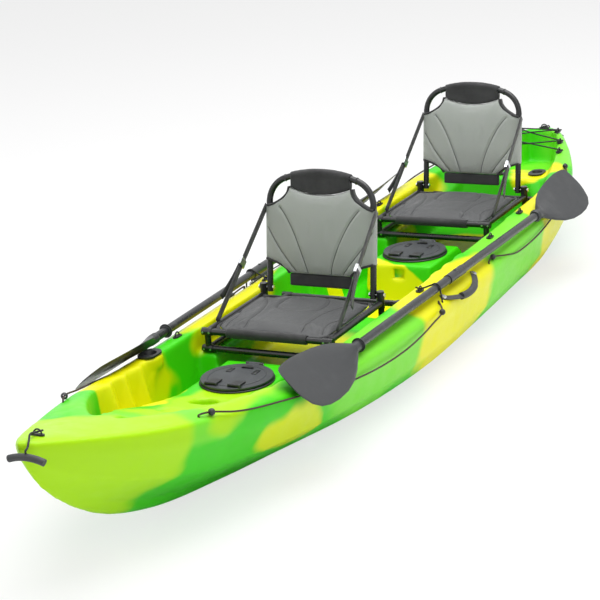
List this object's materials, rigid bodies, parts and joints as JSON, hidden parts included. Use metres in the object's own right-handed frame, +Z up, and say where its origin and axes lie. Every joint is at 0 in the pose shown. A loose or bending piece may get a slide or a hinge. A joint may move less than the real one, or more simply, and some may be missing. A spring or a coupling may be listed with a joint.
{
  "type": "tandem sit-on-top kayak",
  "caption": "Rigid moulded sit-on-top kayak with framed folding seats, round hatches, flush rod holders, carry handles, shock cords and paddles stowed along the gunwales.",
  "frame": {"origin": "on the flat underside of the keel, amidships", "axes": "+X to the bow, +Y to port, +Z up"},
  "size_m": [4.232, 0.9253, 0.7478],
  "materials": {
    "hull_plastic": "moulded polyethylene, marbled green and yellow",
    "black_plastic": "black moulded plastic",
    "grey_plastic": "dark grey textured plastic",
    "rubber": "matt rubber",
    "cord": "braided shock cord",
    "black_tube": "black coated tube",
    "bright_metal": "plain bright metal",
    "grey_fabric": "grey mesh over padding",
    "black_fabric": "black webbing and binding"
  },
  "bodies": {
    "hull": {"hull_body": "hull_plastic", "drain_plug": "black_plastic", "rod_holders": "black_plastic", "gunwale_eyes": "black_plastic", "pad_eyes": "black_plastic", "tank_bungee": "cord", "bungee_balls": "black_plastic", "port_bungee": "cord", "starboard_bungee": "cord", "port_paddle_loop": "cord", "starboard_paddle_loop": "cord", "handle_anchors": "bright_metal", "port_handle_strap": "black_fabric", "starboard_handle_strap": "black_fabric", "bow_toggle_cord": "cord", "stern_toggle_cord": "cord", "front_hatch_rim": "black_plastic", "front_hatch_pin": "bright_metal", "rear_hatch_rim": "black_plastic", "rear_hatch_pin": "bright_metal", "front_seat_base": "black_tube", "front_seat_cushion": "grey_fabric", "front_seat_sleeve": "black_fabric", "front_seat_straps": "black_fabric", "front_seat_buckles": "bright_metal", "front_seat_rivets": "bright_metal", "rear_seat_base": "black_tube", "rear_seat_cushion": "grey_fabric", "rear_seat_sleeve": "black_fabric", "rear_seat_straps": "black_fabric", "rear_seat_buckles": "bright_metal", "rear_seat_rivets": "bright_metal"},
    "front_back": {"front_back_frame": "black_tube", "front_back_panel": "grey_fabric", "front_back_trim": "black_fabric"},
    "front_lid": {"front_hatch_lid": "grey_plastic", "front_hatch_seal": "rubber"},
    "front_latch_port": {"front_latch_port": "black_plastic"},
    "front_latch_starboard": {"front_latch_starboard": "black_plastic"},
    "rear_back": {"rear_back_frame": "black_tube", "rear_back_panel": "grey_fabric", "rear_back_trim": "black_fabric"},
    "rear_lid": {"rear_hatch_lid": "grey_plastic", "rear_hatch_seal": "rubber"},
    "rear_latch_port": {"rear_latch_port": "black_plastic"},
    "rear_latch_starboard": {"rear_latch_starboard": "black_plastic"},
    "port_handle": {"port_handle_grip": "rubber"},
    "port_paddle": {"port_paddle_front_shaft": "black_tube", "port_paddle_rear_shaft": "black_tube", "port_paddle_ferrule": "bright_metal", "port_paddle_blades": "grey_plastic", "port_paddle_rings": "rubber"},
    "starboard_handle": {"starboard_handle_grip": "rubber"},
    "starboard_paddle": {"starboard_paddle_front_shaft": "black_tube", "starboard_paddle_rear_shaft": "black_tube", "starboard_paddle_ferrule": "bright_metal", "starboard_paddle_blades": "grey_plastic", "starboard_paddle_rings": "rubber"},
    "bow_toggle": {"bow_toggle_grip": "rubber"},
    "stern_toggle": {"stern_toggle_grip": "rubber"}
  },
  "joints": [
    {"name": "front_back_fold", "type": "hinge", "parent": "hull", "child": "front_back", "pos_m": [0.211, 0, 0.3288], "axis": [0, 1, 0], "range_deg": [0, 78], "deforming": ["front_seat_straps", "front_seat_buckles"]},
    {"name": "rear_back_fold", "type": "hinge", "parent": "hull", "child": "rear_back", "pos_m": [-1.19, 0, 0.3288], "axis": [0, 1, 0], "range_deg": [0, 78], "deforming": ["rear_seat_straps", "rear_seat_buckles"]},
    {"name": "front_lid_hinge", "type": "hinge", "parent": "hull", "child": "front_lid", "pos_m": [0.726, 0, 0.239], "axis": [0, -1, 0], "range_deg": [0, 95]},
    {"name": "rear_lid_hinge", "type": "hinge", "parent": "hull", "child": "rear_lid", "pos_m": [-0.722, 0, 0.239], "axis": [0, -1, 0], "range_deg": [0, 95]},
    {"name": "front_latch_port_flip", "type": "hinge", "parent": "front_lid", "child": "front_latch_port", "pos_m": [0.949, 0.042, 0.2483], "axis": [0, 1, 0], "range_deg": [0, 100]},
    {"name": "front_latch_starboard_flip", "type": "hinge", "parent": "front_lid", "child": "front_latch_starboard", "pos_m": [0.949, -0.042, 0.2483], "axis": [0, 1, 0], "range_deg": [0, 100]},
    {"name": "rear_latch_port_flip", "type": "hinge", "parent": "rear_lid", "child": "rear_latch_port", "pos_m": [-0.499, 0.042, 0.2483], "axis": [0, 1, 0], "range_deg": [0, 100]},
    {"name": "rear_latch_starboard_flip", "type": "hinge", "parent": "rear_lid", "child": "rear_latch_starboard", "pos_m": [-0.499, -0.042, 0.2483], "axis": [0, 1, 0], "range_deg": [0, 100]},
    {"name": "port_handle_swing", "type": "hinge", "parent": "hull", "child": "port_handle", "pos_m": [-0.12, 0.374, 0.272], "axis": [1, 0, 0], "range_deg": [0, 85], "deforming": ["port_handle_strap"]},
    {"name": "starboard_handle_swing", "type": "hinge", "parent": "hull", "child": "starboard_handle", "pos_m": [-0.12, -0.374, 0.272], "axis": [-1, 0, 0], "range_deg": [0, 85], "deforming": ["starboard_handle_strap"]},
    {"name": "bow_toggle_swing", "type": "hinge", "parent": "hull", "child": "bow_toggle", "pos_m": [1.975, 0, 0.477], "axis": [0, -1, 0], "range_deg": [0, 110], "deforming": ["bow_toggle_cord"]},
    {"name": "stern_toggle_swing", "type": "hinge", "parent": "hull", "child": "stern_toggle", "pos_m": [-2.052, 0, 0.378], "axis": [0, 1, 0], "range_deg": [0, 110], "deforming": ["stern_toggle_cord"]},
    {"name": "port_paddle_lift", "type": "slide", "parent": "hull", "child": "port_paddle", "axis": [0, 0, 1], "range_m": [0, 0.35], "deforming": ["port_paddle_loop"]},
    {"name": "starboard_paddle_lift", "type": "slide", "parent": "hull", "child": "starboard_paddle", "axis": [0, 0, 1], "range_m": [0, 0.35], "deforming": ["starboard_paddle_loop"]}
  ]
}
